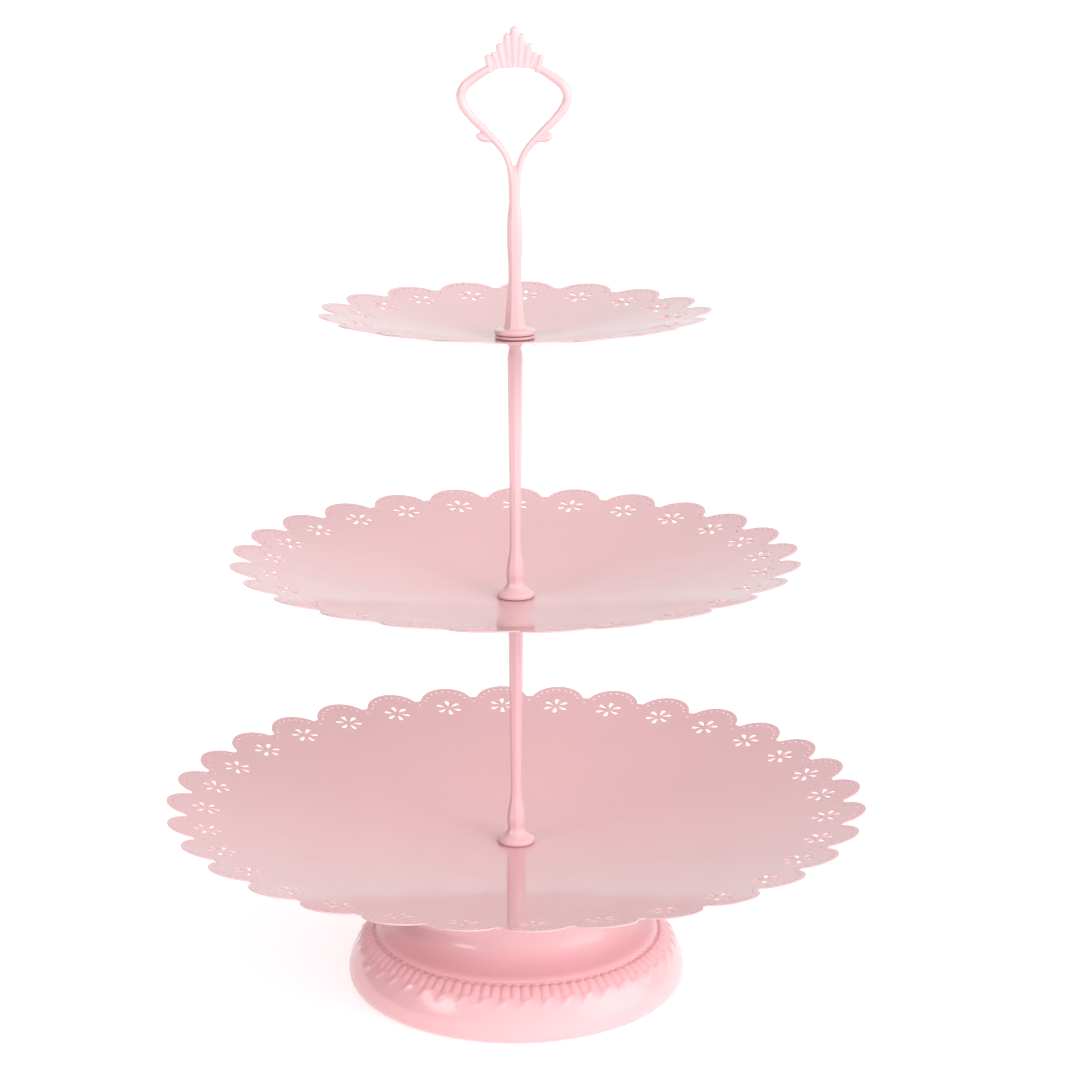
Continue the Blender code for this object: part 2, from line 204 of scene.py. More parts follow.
def circle(x, y, radius):
    angle = full_turn(DOT_SIDES)
    return np.stack([x + radius * np.cos(angle), y + radius * np.sin(angle)], -1)


def teardrop(angle):
    """A petal's outline: two circles and their tangents, the big one outwards."""
    lean = math.acos((PETAL_SMALL_R - PETAL_BIG_R) / (PETAL_OUT - PETAL_IN))
    big = np.linspace(-lean, lean, 11)
    small = np.linspace(lean, 2 * math.pi - lean, 5)
    x = np.concatenate([PETAL_OUT + PETAL_BIG_R * np.cos(big), PETAL_IN + PETAL_SMALL_R * np.cos(small)])
    y = np.concatenate([PETAL_BIG_R * np.sin(big), PETAL_SMALL_R * np.sin(small)])
    return rotate(np.stack([x, y], -1), angle)


def lobe_arc(dish):
    """(centre distance, radius, half sweep) of a scallop's arc."""
    half = math.pi / dish["lobes"] - NOTCH_FLOOR / 2 / dish["notch"]
    chord = dish["notch"] * math.sin(half)
    tip = dish["tip"] - INSET / MM
    rise = tip - dish["notch"] * math.cos(half)
    radius = (chord**2 + rise**2) / (2 * rise)
    return tip - radius, radius, math.asin(chord / radius)


def sector_side(dish):
    """The radial edge between two scallops, with half of the dot below the notch cut out of it."""
    h = math.pi / dish["lobes"]
    inner = dish["notch"] - SECTOR_DEPTH
    dot = dish["notch"] - NOTCH_DOT_INSET
    radial = [(r, 0.0) for r in np.linspace(inner, dot - DOT_R, 7)]
    radial += [(dot - DOT_R * math.cos(a), DOT_R * math.sin(a)) for a in np.linspace(0, math.pi, 6)[1:-1]]
    radial += [(dot + DOT_R, 0.0), (dish["notch"] - 0.9, 0.0), (dish["notch"] - 0.12, 0.0)]
    return rotate(np.array(radial), -h)


def sector_outline(dish):
    """One scallop's sector in plan, anticlockwise, its middle on +X."""
    centre, radius, sweep = lobe_arc(dish)
    side = sector_side(dish)
    angle = np.linspace(-sweep, sweep, LOBE_STEPS)
    arc = np.stack([centre + radius * np.cos(angle), radius * np.sin(angle)], -1)
    mirrored = side[::-1] * (1, -1)
    h = math.pi / dish["lobes"]
    inner = np.linspace(h, -h, SECTOR_SPLIT + 1)[1:-1]
    back = (dish["notch"] - SECTOR_DEPTH) * np.stack([np.cos(inner), np.sin(inner)], -1)
    return np.vstack([side, arc, mirrored, back])


def piercings(dish):
    """Outlines of a scallop's flower and its arc of dots."""
    centre, radius, sweep = lobe_arc(dish)
    holes = [teardrop(2 * math.pi * k / PETALS) + (dish["flower"], 0) for k in range(PETALS)]
    for a in np.linspace(-sweep * DOT_SWEEP, sweep * DOT_SWEEP, DOTS):
        reach = radius - DOT_INSET
        holes.append(circle(centre + reach * math.cos(a), reach * math.sin(a), DOT_R))
    return holes


def inside(points, loop):
    """Which points lie in a closed outline."""
    x, y = points[:, 0], points[:, 1]
    found = np.zeros(len(points), bool)
    for (ax, ay), (bx, by) in zip(loop, np.roll(loop, -1, 0)):
        if ay != by:
            crosses = ((ay > y) != (by > y)) & (x < (bx - ax) * (y - ay) / (by - ay) + ax)
            found ^= crosses
    return found


def seeds(dish, outline, holes):
    """Points that fill the sector between its outline and holes."""
    h = math.pi / dish["lobes"]
    found = []
    for r in np.arange(dish["notch"] - SECTOR_DEPTH + SEED_STEP, dish["tip"], SEED_STEP):
        count = max(2, int(2 * h * r / SEED_STEP))
        angle = np.linspace(-h, h, count + 1)[1:-1]
        found.append(np.stack([r * np.cos(angle), r * np.sin(angle)], -1))
    found = np.vstack(found)
    found = found[inside(found, outline)]
    for hole in holes:
        found = found[~inside(found, hole)]
    walls = np.vstack([outline] + holes)
    gaps = np.linalg.norm(found[:, None] - walls[None], axis=2).min(1)
    return found[gaps > SEED_CLEAR]


def pierced_sector(dish):
    """(points, triangles) of one scallop in plan, in mm."""
    outline, holes = sector_outline(dish), piercings(dish)
    loops, start = [], 0
    for loop in [outline] + holes:
        loops.append(list(range(start, start + len(loop))))
        start += len(loop)
    points = np.vstack([outline] + holes + [seeds(dish, outline, holes)])
    found = delaunay_2d_cdt([Vector(p) for p in points], [], loops, 1, 0.00001)
    flat = np.array([tuple(v) for v in found[0]])
    faces = np.array([f for f in found[2] if len(f) == 3])
    middle = flat[faces].mean(1)
    keep = inside(middle, outline)
    for hole in holes:
        keep &= ~inside(middle, hole)
    faces = faces[keep]
    a, b, c = flat[faces[:, 0]], flat[faces[:, 1]], flat[faces[:, 2]]
    turn = (b - a)[:, 0] * (c - a)[:, 1] - (b - a)[:, 1] * (c - a)[:, 0]
    faces[turn < 0] = faces[turn < 0][:, ::-1]
    return flat, faces


def plain_middle(dish):
    """(points, quads) in plan of the dish inside its pierced band."""
    count = dish["lobes"] * SECTOR_SPLIT
    edge = dish["notch"] - SECTOR_DEPTH
    rings = list(np.linspace(edge, HUB_FLAT, max(8, int(edge / 3)))) + [8.0, 5.0, HOLE]
    angle = math.radians(dish["turn"]) + full_turn(count)
    points = np.array([(r * math.cos(a), r * math.sin(a)) for r in rings for a in angle])
    return points, ring_faces(len(rings), count)


def make_dish(name):
    dish = DISHES[name]
    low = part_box(name)[0].z
    flat, triangles = pierced_sector(dish)
    pitch = 2 * math.pi / dish["lobes"]
    points, faces = [], []
    for k in range(dish["lobes"]):
        a = math.radians(dish["turn"]) + pitch * (k + 0.5)
        faces += [tuple(f) for f in triangles + len(points) * len(flat)]
        points.append(rotate(flat, a))
    middle, quads = plain_middle(dish)
    start = len(flat) * dish["lobes"]
    faces += [tuple(start + i for i in f) for f in quads]
    plan = np.vstack(points + [middle])
    z = dish_height(np.hypot(plan[:, 0], plan[:, 1]), dish) + SHEET
    item = mesh_item(name + "_pierced", np.column_stack([plan, z]) * MM + (0, 0, low), faces)
    weld(item)
    face_up(item)
    shell = item.modifiers.new("thickness", "SOLIDIFY")
    shell.thickness = SHEET * MM
    shell.offset = -1
    bevel(item, 0.16 * MM, 2, 50)
    return finish_piece(bake(item), dish["body"], [name], "pink_enamel")


def face_up(item):
    form = bmesh.new()
    form.from_mesh(item.data)
    for face in form.faces:
        if face.normal.z < 0:
            face.normal_flip()
    form.to_mesh(item.data)
    form.free()


def bevel(item, width, segments, angle):
    item.data.shade_smooth()
    edge = item.modifiers.new("edges", "BEVEL")
    edge.width = width
    edge.segments = segments
    edge.limit_method = "ANGLE"
    edge.angle_limit = math.radians(angle)
    edge.harden_normals = True


# Pedestal

RIBS = 98
RIB_SAMPLES = 8  # columns to each rib
PEDESTAL_SHEET = 0.9
GAP_DEPTH = 0.8  # between two ribs
GAP_WIDTH = 0.24  # in ribs
GAP_FALL = 1.6
GAP_LONG = 8.8  # below the groove; every second gap is shorter
GAP_SHORTER = 1.2
GROOVE_DEPTH = 1.0
GROOVE_HALF = 1.3
TIP_HEIGHT = 0.5  # the row of slanted tips below the ribs, one to each pair of ribs
TIP_WIDTH = 0.15
TIP_SLANT = 0.75
TIP_MIDDLE = 8.2
RELIEF_TOP = -1.4  # mm below the groove, where the relief begins and ends
RELIEF_END = 13.0
NECK = [(50.0, 58.2), (48.2, 54.0), (47.1, 48.0), (46.7, 42.5), (46.9, 37.5), (47.8, 33.2),
        (49.6, 29.6), (52.4, 26.9), (56.2, 25.1), (60.4, 24.0)]
SHOULDER = [(61.7, 23.5), (62.3, 22.7), (63.6, 22.1), (65.9, 20.6), (68.2, 18.3), (70.0, 15.7), (71.6, 12.6),
            (72.9, 9.2), (73.5, 5.8), (73.2, 3.2), (72.2, 1.5), (70.6, 0.55)]


def pedestal_profile():
    """(radius, height, distance below the groove) from the top's hole to the turned-in hem."""
    top = [(HOLE, 59.4), (6.0, 59.4), (12.0, 59.4), (20.0, 59.4), (30.0, 59.4), (40.0, 59.4), (47.0, 59.4),
           (48.9, 59.35), (49.6, 59.0), (49.95, 58.6)]
    neck = through(NECK, 1.6)
    shoulder = through(SHOULDER, 0.45)
    hem = [(70.0, 0.4), (68.6, 0.4), (67.6, 0.55), (67.1, 1.2), (65.0, 1.2), (62.5, 1.2), (60.5, 1.2)]
    line = np.vstack([top, neck, shoulder, hem])
    steps = np.hypot(*np.diff(line, axis=0).T)
    below = np.concatenate([[0], np.cumsum(steps)])
    return np.column_stack([line, below - below[len(top) + len(neck) + 1]])


def bump(x, middle, half):
    """A smooth hump, 1 at its middle and 0 beyond `half` from it."""
    t = np.clip(np.abs(x - middle) / half, 0, 1)
    return (1 - t * t) ** 2


def ramp(x, start, end):
    t = np.clip((x - start) / (end - start), 0, 1)
    return t * t * (3 - 2 * t)


def rib_relief(below, angle, radius):
    """How far the shoulder's relief stands out, in mm, below the groove and round the pedestal."""
    turn = angle * RIBS / (2 * math.pi)
    apart = np.abs((turn + 0.5) % 1 - 0.5)  # from the nearest gap, in ribs
    even = np.abs(((turn + 0.5) // 1) % 2)
    length = GAP_LONG - GAP_SHORTER * even
    gap = np.exp(-((apart / GAP_WIDTH) ** 2) * GAP_FALL)
    reach = ramp(below, -0.2, 0.4) * (1 - ramp(below, length - 2.4, length))
    relief = -GAP_DEPTH * gap * reach
    groove = -GROOVE_DEPTH * bump(below, 0.1, GROOVE_HALF)
    slant = angle + TIP_SLANT * (below - TIP_MIDDLE) / radius
    leaf = np.abs((slant * RIBS / (4 * math.pi) + 0.22) % 1 - 0.5)
    tips = TIP_HEIGHT * np.exp(-((leaf / TIP_WIDTH) ** 2))
    tips = tips * ramp(below, 6.6, 8.4) * (1 - ramp(below, 9.6, 12.8))
    return relief + groove + tips


def make_pedestal():
    line = pedestal_profile()
    angle = full_turn(RIBS * RIB_SAMPLES)
    r, z, below = line[:, :1], line[:, 1:2], line[:, 2:3]
    along = np.gradient(line[:, :2], axis=0)
    normal = np.column_stack([-along[:, 1], along[:, 0]])
    normal /= np.linalg.norm(normal, axis=1)[:, None]
    zone = (below > RELIEF_TOP) & (below < RELIEF_END)
    relief = rib_relief(below, angle[None, :], r) * zone
    item = revolve("pedestal_ribbed", r + normal[:, :1] * relief, z + normal[:, 1:2] * relief)
    shell = item.modifiers.new("thickness", "SOLIDIFY")
    shell.thickness = PEDESTAL_SHEET * MM
    shell.offset = -1
    bake(item)
    smooth(item, 50)
    return finish_piece(item, "base", ["pedestal_base"], "pink_enamel")


# Rods


def mark_cast_painted_sheen(item):
    """Marks a casting, whose enamel is painted paler than on the dishes: painted sheen that stands in for
    the light the castings reflect.
    """
    mark = item.data.attributes.new("cast", "FLOAT", "POINT")
    mark.data.foreach_set("value", [1.0] * len(item.data.vertices))


SIDES = 8
CORNER = 90  # sharpness of the rounded corners between the flats
CORNER_CUT = 0.99  # how far out the corners are rounded off, against the full octagon's


def flats(angle, first):
    """Radius of a rounded octagon with corners at 1; `first` is one corner's angle."""
    step = 2 * math.pi / SIDES
    off = (angle - first) % step - step / 2
    side = math.cos(step / 2) / np.cos(off)
    return ((side**-CORNER + CORNER_CUT**-CORNER) / 2) ** (-1 / CORNER)


def thread_rows(bottom, top, outer, depth, count):
    """Radius and height arrays of a right-hand thread, from the top down; it fades in at its ends."""
    z = np.arange(top, bottom, -THREAD_PITCH / 10)[:, None]
    angle = full_turn(count)[None, :]
    phase = (z / THREAD_PITCH - angle / (2 * math.pi)) % 1
    cut = 1 - np.abs(2 * phase - 1)
    fade = ramp(z, top, top - 0.5) * ramp(z, bottom, bottom + 0.8)
    return outer - depth * cut * fade, z + 0 * angle


ROD = [(8.0, 0.35, 0), (7.8, 0.75, 0), (6.6, 1.55, 0.05), (5.2, 2.6, 0.25), (4.2, 3.7, 0.6), (3.62, 5.0, 1),
       (3.7, 6.4, 1), (3.9, 8.0, 1), (3.92, 9.6, 1), (3.72, 12.0, 1), (3.3, 14.6, 1), (2.82, 17.2, 1),
       (2.5, 19.8, 1), (2.33, 23.4, 1), (2.45, 40.7, 1), (2.65, 53.6, 1), (2.86, 66.3, 1), (3.06, 84.9, 1),
       (3.2, 98.0, 1), (3.2, 101.2, 1), (3.05, 102.7, 0.9), (2.7, 104.2, 0.6), (2.5, 105.5, 0.2),
       (2.55, 106.5, 0)]


def rod_rows(line, first, count):
    """Faceted rings from (radius, height, how faceted) points."""
    angle = full_turn(count)
    share = np.clip(line[:, 2:3], 0, 1)
    radius = line[:, :1] * (1 - share + share * flats(angle, first)[None, :])
    return radius, line[:, 1:2] + 0 * angle


def plain_rows(points, count):
    p = np.array(points, float)
    one = np.ones(count)
    return p[:, :1] * one, p[:, 1:2] * one


def stack_rows(*parts):
    """One (radii, heights) pair from several, in their order."""
    return np.vstack([p[0] for p in parts]), np.vstack([p[1] for p in parts])


def stud_rows(bottom, top, count):
    """A threaded stud, from its chamfered tip down."""
    tip = plain_rows([(0, top), (1.3, top), (1.5, top - 0.1), (1.62, top - 0.4)], count)
    return stack_rows(tip, thread_rows(bottom, top - 0.5, THREAD_R, THREAD_DEPTH, count))


def bore_rows(depth, count):
    """The threaded bore, from its mouth up."""
    radius, height = thread_rows(1.0, depth, BORE_R + 0.1, 0.2, count)
    mouth = plain_rows([(BORE_R + 0.35, 0.0), (BORE_R + 0.1, 0.3)], count)
    end = plain_rows([(BORE_R, depth), (0, depth + 1.2)], count)
    return stack_rows(mouth, (radius[::-1], height[::-1]), end)


def make_rod(node, name, body):
    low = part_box(node)[0].z
    top = (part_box(node)[1].z - low) / MM
    seat = top - STUD_LENGTH
    count = 128
    collar = plain_rows([(THREAD_R, seat + 0.05), (4.15, seat), (4.35, seat - 0.1), (4.35, seat - 0.3),
                         (3.95, seat - 0.55), (3.3, seat - 0.8), (2.8, seat - 1.15)], count)
    shaft = rod_rows(through(ROD, 0.8)[::-1], -math.pi / 2, count)
    foot = plain_rows([(8.0, 0.1), (8.0, -0.6), (7.9, -0.75), (7.7, -0.8), (7.2, -0.8), (7.1, -0.7),
                       (7.1, 0.0), (4.0, 0.0)], count)
    bore = bore_rows(BORE_DEPTH, count)
    radius, height = stack_rows(stud_rows(seat, top, count), collar, shaft, foot, bore)
    item = revolve(name, radius, height + low / MM)
    mark_cast_painted_sheen(smooth(item, 40))
    return finish_piece(item, body, [node], "pink_enamel")


# Handle

LOOP = [(0.9, 57.0, 1.5, 2.2), (1.2, 63.3, 1.5, 2.1), (1.9, 68.0, 1.4, 1.9), (3.5, 72.7, 1.4, 1.7),
        (6.5, 77.1, 1.5, 1.7), (12.4, 83.3, 1.7, 1.8), (17.0, 87.9, 1.85, 1.9), (20.4, 92.5, 2.0, 2.0),
        (21.4, 96.6, 2.05, 2.1), (19.6, 100.8, 2.0, 2.0), (15.0, 104.4, 1.9, 1.9), (10.8, 106.9, 1.6, 1.7),
        (7.6, 108.3, 1.0, 1.3)]
SHAFT = [(5.0, 2.6, 1), (4.75, 3.2, 1), (4.3, 6.0, 1), (3.75, 11.0, 1), (3.2, 17.0, 1), (2.9, 22.0, 1),
         (2.9, 28.0, 1), (3.2, 33.0, 1), (3.45, 38.0, 1), (3.45, 43.0, 1), (3.2, 48.0, 1), (2.75, 52.0, 1),
         (2.6, 55.0, 1), (2.65, 59.0, 1), (2.45, 63.0, 1), (1.9, 66.2, 0.6), (0.8, 68.4, 0.2)]
VOXEL = 0.2 * MM


def tube(points, power):
    """A closed bar in the XZ plane through (x, z, half width, half depth) points.

    Its section is |across|^power + |depth|^power = 1, so 2 is round and lower is ridged."""
    count = 24
    angle = full_turn(count)
    across = np.sign(np.cos(angle)) * np.abs(np.cos(angle)) ** (2 / power)
    deep = np.sign(np.sin(angle)) * np.abs(np.sin(angle)) ** (2 / power)
    along = np.gradient(points[:, :2], axis=0)
    along /= np.linalg.norm(along, axis=1)[:, None]
    verts = []
    for (x, z, wide, thick), (tx, tz) in zip(points, along):
        for a, d in zip(across, deep):
            verts.append((x - tz * wide * a, thick * d, z + tx * wide * a))
    faces = ring_faces(len(points), count)
    faces.append(tuple(range(count))[::-1])
    faces.append(tuple(range((len(points) - 1) * count, len(points) * count)))
    return np.array(verts), faces


def finger(foot, head, slim, wide, thick):
    """A flute of the crest: a bar that widens from its foot to a rounded head."""
    t = np.linspace(0, 1, 15)
    body = slim + (wide - slim) * ramp(t, 0.1, 0.75)
    close = np.sqrt(np.clip(1 - (np.clip(t - 0.80, 0, 1) / 0.2) ** 2, 0.004, 1))
    x = foot[0] + (head[0] - foot[0]) * t
    z = foot[1] + (head[1] - foot[1]) * t
    return np.column_stack([x, z, body * close, thick * (0.75 + 0.25 * t) * close])


def crest_fingers():
    """The crest's flutes: a pointed middle one, then pairs that step down to the end scrolls."""
    found = [finger((0, 107.7), (0, 124.35), 1.05, 1.9, 1.75)]
    pairs = (((2.0, 107.6), (3.1, 121.6), 1.05, 1.6, 1.5), ((4.1, 107.5), (6.3, 117.5), 1.05, 1.6, 1.55),
             ((6.3, 107.3), (8.6, 114.1), 1.15, 1.35, 1.35), ((9.3, 105.6), (11.0, 113.0), 1.45, 1.4, 1.8))
    for foot, head, slim, wide, thick in pairs:
        for side in (-1, 1):
            found.append(finger((side * foot[0], foot[1]), (side * head[0], head[1]), slim, wide, thick))
    return found


WEB = [(0.0, 122.4), (2.6, 120.2), (4.3, 118.2), (5.9, 116.0), (7.6, 113.6), (9.2, 112.2), (11.0, 111.4),
       (11.0, 106.5), (8.6, 106.8), (4.5, 107.6), (0.0, 108.0)]
WEB_THICK = 0.8


def crest_web():
    """The thin ground that joins the crest's flutes: (points, faces)."""
    outline = WEB + [(-x, z) for x, z in reversed(WEB[1:-1])]
    count = len(outline)
    points = [(x, y, z) for y in (-WEB_THICK, WEB_THICK) for x, z in outline]
    faces = [tuple(range(count)), tuple(range(count, 2 * count))]
    faces += [(i, (i + 1) % count, count + (i + 1) % count, count + i) for i in range(count)]
    return points, faces


def leaves():
    """The small leaf on the outside of each of the loop's lower bends."""
    found = []
    for side in (-1, 1):
        line = np.array([(9.4, 78.8, 0.8, 1.2), (11.6, 79.3, 1.35, 1.5), (13.4, 80.0, 1.6, 1.6),
                         (14.7, 80.8, 1.35, 1.3), (15.3, 81.3, 0.45, 0.5)])
        line[:, 0] *= side
        found.append(line)
    return found


def handle_shaft():
    """(points, faces) of the shaft, flange and bore."""
    count = 160
    shaft = rod_rows(through(SHAFT, 0.8)[::-1], -math.pi / 2 + math.pi / SIDES, count)
    flange = plain_rows([(5.4, 2.45), (7.6, 2.3), (8.3, 2.05), (8.6, 1.6), (8.6, 0.6), (8.4, 0.15),
                         (8.0, 0.0)], count)
    bore = plain_rows([(BORE_R + 0.1, 0.0), (BORE_R, 0.4), (BORE_R, BORE_DEPTH),
                       (0, BORE_DEPTH + 1.2)], count)
    cap = plain_rows([(0, 69.0)], count)
    return stack_rows(cap, shaft, flange, bore)


def make_handle():
    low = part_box("crown_handle")[0].z
    radius, height = handle_shaft()
    item = revolve("crown_handle_cast", radius, height)
    bars = []
    for side in (-1, 1):
        line = through(LOOP, 0.8)
        line[:, 0] *= side
        bars.append((line, 1.55))
    bars += [(line, 1.7) for line in crest_fingers()]
    bars += [(line, 2.0) for line in leaves()]
    form = bmesh.new()
    form.from_mesh(item.data)
    for points, faces in [tube(line, power) for line, power in bars] + [crest_web()]:
        verts = [form.verts.new(Vector(p) * MM) for p in points]
        for face in faces:
            form.faces.new([verts[i] for i in face])
    bmesh.ops.recalc_face_normals(form, faces=form.faces)
    form.to_mesh(item.data)
    form.free()
    cast = item.modifiers.new("cast", "REMESH")
    cast.mode = "VOXEL"
    cast.voxel_size = VOXEL
    cast.use_smooth_shade = True
    soften = item.modifiers.new("soften", "SMOOTH")
    soften.factor = 0.5
    soften.iterations = 4
    bake(item)
    item.data.transform(Matrix.Translation((0, 0, low)))
    item.data.shade_smooth()
    mark_cast_painted_sheen(item)
    return finish_piece(item, "handle", ["crown_handle"], "pink_enamel")


# Small parts

# Node, body, outer radius, rounding of the edges, look
RINGS = (
    ("lower_washer", "lower_washer", 6.8, 0.15, "clear_rubber"),
    ("middle_washer", "middle_washer", 6.8, 0.15, "clear_rubber"),
    ("handle_washer", "handle_washer", 8.3, 0.3, "pink_enamel"),
    ("seat_gasket", "base", 24.0, 0.3, "clear_rubber"),
    ("base_washer", "base", 10.0, 0.2, "zinc_steel"),
)


def make_rings():
    for node, body, outer, edge, look in RINGS:
        low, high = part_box(node)
        item = rounded_ring(node + "_ring", HOLE, outer, (high.z - low.z) / MM, low.z, edge)
        finish_piece(item, body, [node], look)


def make_pads():
    for k in range(4):
        node = f"foot_pad_{k + 1}"
        low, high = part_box(node)
        thick = (high.z - low.z) / MM
        profile = [(0, thick), (3.0, thick), (3.15, thick - 0.1), (3.2, thick - 0.3), (3.15, 0.25),
                   (3.0, 0.08), (2.8, 0.0), (2.2, 0.0), (2.1, 0.12), (0.0, 0.12)]
        item = turned(node + "_disc", profile, low.z, 48)
        item.data.transform(Matrix.Translation(((low.x + high.x) / 2, (low.y + high.y) / 2, 0)))
        finish_piece(item, "base", [node], "clear_rubber")


CROSS = ((4.6, 1.0), (1.0, 4.6))  # the two arms of the bolt's recess
CROSS_HEIGHT = 3.0  # of the cutter, half of it in the head


def make_bolt():
    """Pan-head bolt with a cross recess, its thread running up into the lower rod."""
    low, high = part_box("base_bolt")
    top = (high.z - low.z) / MM
    count = 96
    head = plain_rows([(THREAD_R, 3.0), (THREAD_R, 2.72), (3.9, 2.7), (4.1, 2.5), (4.1, 1.5), (4.0, 1.1),
                       (3.6, 0.6), (3.0, 0.28), (2.0, 0.08), (0.0, 0.0)], count)
    radius, height = stack_rows(stud_rows(3.4, top, count), head)
    item = revolve("base_bolt_cross", radius, height + low.z / MM)
    for size in CROSS:
        form = bmesh.new()
        bmesh.ops.create_cube(form, size=1)
        bmesh.ops.scale(form, vec=(size[0] * MM, size[1] * MM, CROSS_HEIGHT * MM), verts=form.verts)
        bmesh.ops.translate(form, vec=(0, 0, low.z), verts=form.verts)
        mesh = bpy.data.meshes.new("slot")
        form.to_mesh(mesh)
        form.free()
        cutter = link("slot", mesh)
        cut = item.modifiers.new("slot", "BOOLEAN")
        cut.operation = "DIFFERENCE"
        cut.object = cutter
        bake(item)
        bpy.data.objects.remove(cutter)
    smooth(item, 35)
    return finish_piece(item, "base", ["base_bolt"], "zinc_steel")


# Materials


def new_material(name):
    material = bpy.data.materials.new(name)
    material.use_nodes = True
    tree = material.node_tree
    return material, tree, tree.nodes["Principled BSDF"]


def add(tree, kind, **inputs):
    node = tree.nodes.new(kind)
    for key, value in inputs.items():
        node.inputs[key.replace("_", " ")].default_value = value
    return node


def noise(tree, scale, detail=3.0, roughness=0.55):
    place = tree.nodes.new("ShaderNodeTexCoord")
    node = add(tree, "ShaderNodeTexNoise", Scale=scale, Detail=detail, Roughness=roughness)
    tree.links.new(place.outputs["Object"], node.inputs["Vector"])
    return node.outputs["Fac"]


def spread(tree, value, low, high, start=0.3, end=0.7):
    node = tree.nodes.new("ShaderNodeMapRange")
    node.inputs["From Min"].default_value = start
    node.inputs["From Max"].default_value = end
    node.inputs["To Min"].default_value = low
    node.inputs["To Max"].default_value = high
    tree.links.new(value, node.inputs["Value"])
    return node.outputs["Result"]


def mix(tree, share, first, second):
    node = tree.nodes.new("ShaderNodeMix")
    node.data_type = "RGBA"
    tree.links.new(share, node.inputs["Factor"])
    for socket, colour in (("A", first), ("B", second)):
        found = [s for s in node.inputs if s.name == socket and s.type == "RGBA"][0]
        if isinstance(colour, tuple):
            found.default_value = (*colour, 1.0)
        else:
            tree.links.new(colour, found)
    return [s for s in node.outputs if s.type == "RGBA"][0]


def add_bump(tree, shader, heights, socket="Normal"):
    """Chains bumps of (height output, strength, distance in mm)."""
    last = None
    for height, strength, distance in heights:
        node = add(tree, "ShaderNodeBump", Strength=strength, Distance=distance * MM)
        tree.links.new(height, node.inputs["Height"])
        if last is not None:
            tree.links.new(last, node.inputs["Normal"])
        last = node.outputs["Normal"]
    tree.links.new(last, shader.inputs[socket])


ENAMEL = (0.735, 0.43, 0.447)
ENAMEL_DEEP = (0.725, 0.42, 0.437)
# pale enamel for random specks, and for a painted highlight on sharp edges
ENAMEL_PALE_SPECK_AND_EDGE_HIGHLIGHT = (0.765, 0.465, 0.48)
# painted sheen: the castings' paler colour stands in for the light they reflect
ENAMEL_CAST_SHEEN = (0.785, 0.515, 0.535)


def pink_enamel():
    """Baked enamel: a soft colour coat under clear gloss, with orange peel, pale specks, a painted highlight
    on sharp edges and painted sheen on the castings.
    """
    material, tree, shader = new_material("pink_enamel_look")
    cloud = spread(tree, noise(tree, 22, 4), 0.0, 1.0, 0.35, 0.65)
    speck = spread(tree, noise(tree, 700, 2), 0.0, 1.0, 0.62, 0.72)
    base = mix(tree, cloud, ENAMEL, ENAMEL_DEEP)
    edge = tree.nodes.new("ShaderNodeNewGeometry")
    # painted highlight: sharp convex edges turn paler
    edge_highlight = spread(tree, edge.outputs["Pointiness"], 0.0, 0.6, 0.54, 0.62)
    base = mix(tree, edge_highlight, base, ENAMEL_PALE_SPECK_AND_EDGE_HIGHLIGHT)
    base = mix(tree, spread(tree, speck, 0.0, 0.18, 0.0, 1.0), base, ENAMEL_PALE_SPECK_AND_EDGE_HIGHLIGHT)
    # painted sheen: marked castings take the paler colour in place of reflected light
    cast = add(tree, "ShaderNodeAttribute")
    cast.attribute_name = "cast"
    base = mix(tree, spread(tree, cast.outputs["Fac"], 0.0, 0.75, 0.0, 1.0), base, ENAMEL_CAST_SHEEN)
    tree.links.new(base, shader.inputs["Base Color"])
    tree.links.new(spread(tree, noise(tree, 60, 3), 0.38, 0.46), shader.inputs["Roughness"])
    shader.inputs["Coat Weight"].default_value = 1.0
    shader.inputs["Coat IOR"].default_value = 1.5
    tree.links.new(spread(tree, noise(tree, 35, 3), 0.045, 0.11), shader.inputs["Coat Roughness"])
    shader.inputs["Specular IOR Level"].default_value = 0.25
    peel = noise(tree, 420, 2)
    wave = noise(tree, 38, 2)
    add_bump(tree, shader, [(peel, 0.25, 0.02), (wave, 0.15, 0.03)])
    add_bump(tree, shader, [(peel, 0.2, 0.012), (wave, 0.12, 0.03)], "Coat Normal")
    return material


def clear_rubber():
    material, tree, shader = new_material("clear_rubber_look")
    base = mix(tree, spread(tree, noise(tree, 90, 3), 0.0, 1.0), (0.80, 0.77, 0.75), (0.72, 0.69, 0.67))
    tree.links.new(base, shader.inputs["Base Color"])
    tree.links.new(spread(tree, noise(tree, 300, 3), 0.38, 0.58), shader.inputs["Roughness"])
    shader.inputs["Subsurface Weight"].default_value = 0.35
    shader.inputs["Subsurface Radius"].default_value = (0.002, 0.0018, 0.0016)
    shader.inputs["Transmission Weight"].default_value = 0.15
    add_bump(tree, shader, [(noise(tree, 1500, 2), 0.3, 0.02)])
    return material


def zinc_steel():
    material, tree, shader = new_material("zinc_steel_look")
    base = mix(tree, spread(tree, noise(tree, 260, 4), 0.0, 1.0), (0.66, 0.65, 0.63), (0.50, 0.51, 0.52))
    tree.links.new(base, shader.inputs["Base Color"])
    shader.inputs["Metallic"].default_value = 1.0
    tree.links.new(spread(tree, noise(tree, 500, 4), 0.22, 0.42), shader.inputs["Roughness"])
    add_bump(tree, shader, [(noise(tree, 1200, 3), 0.25, 0.02)])
    return material


FLOOR_GLOW = 0.58  # the floor is a light table


